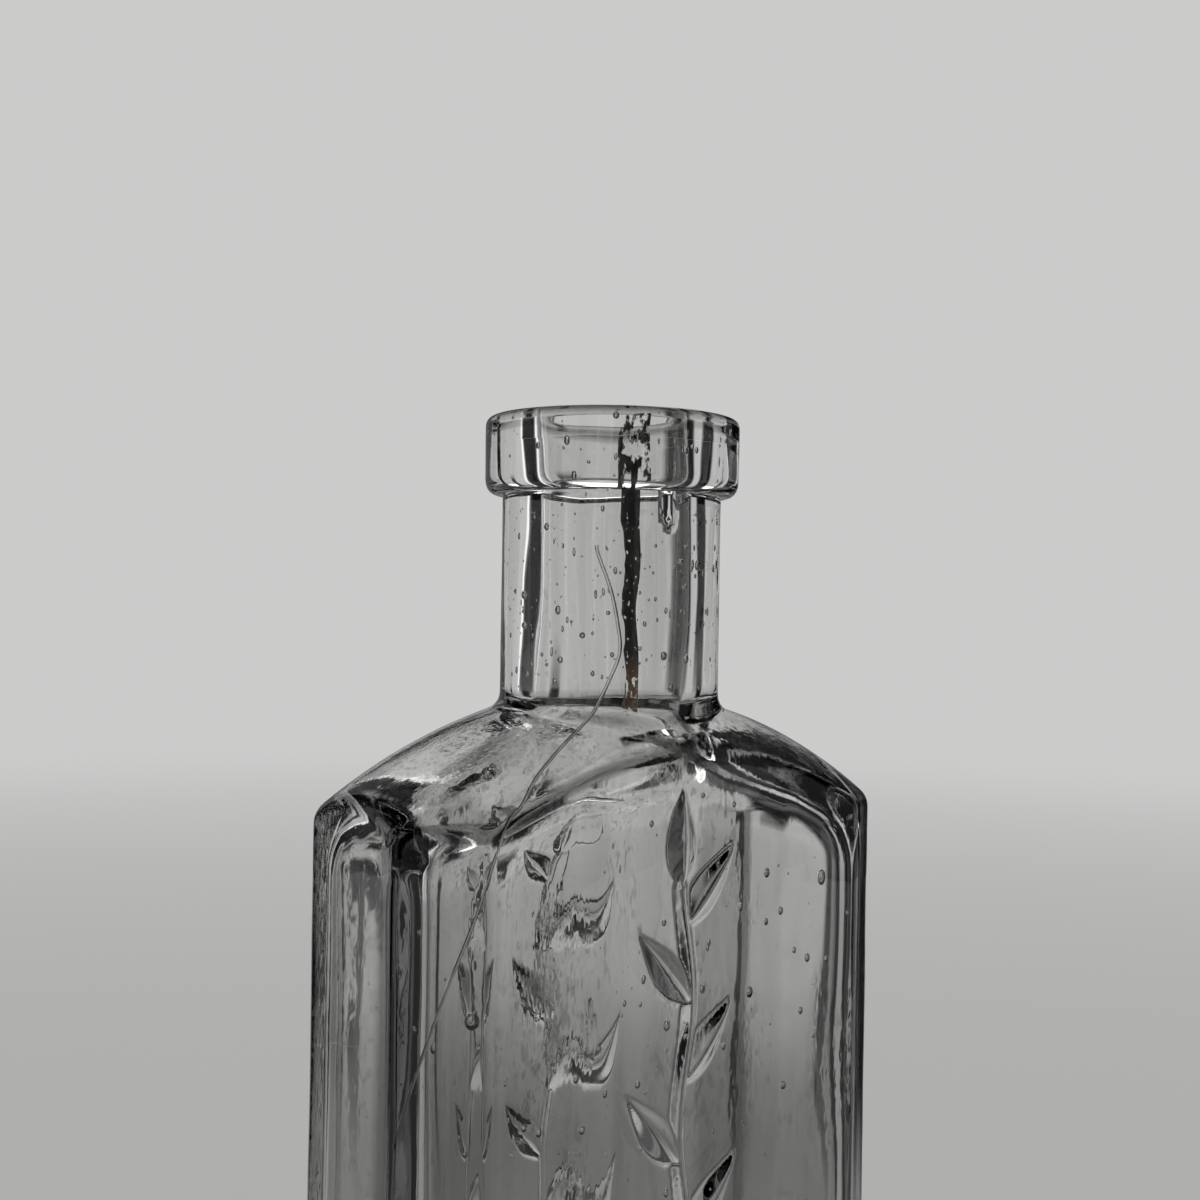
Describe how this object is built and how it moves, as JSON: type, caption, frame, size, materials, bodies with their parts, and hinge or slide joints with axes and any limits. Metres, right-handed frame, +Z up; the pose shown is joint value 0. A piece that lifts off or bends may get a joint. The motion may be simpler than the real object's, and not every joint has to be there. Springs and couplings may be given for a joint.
{
  "type": "glass bottle",
  "caption": "Flat clear glass medicine bottle with cut corners, arched panels, a domed shoulder, a round neck and an applied collar lip, open for a cork.",
  "frame": {"origin": "centre of the base, in the plane of its bearing ring", "axes": "+Z up along the neck, X along the width, the front panel faces -Y"},
  "size_m": [0.044, 0.0216, 0.105],
  "materials": {
    "bottle_glass": "clear blown glass, faintly grey, with seeds and ripples",
    "lip_glass": "clear tooled glass, faintly grey"
  },
  "bodies": {
    "root": {"bottle_body": "bottle_glass", "lip_collar": "lip_glass"}
  },
  "joints": []
}
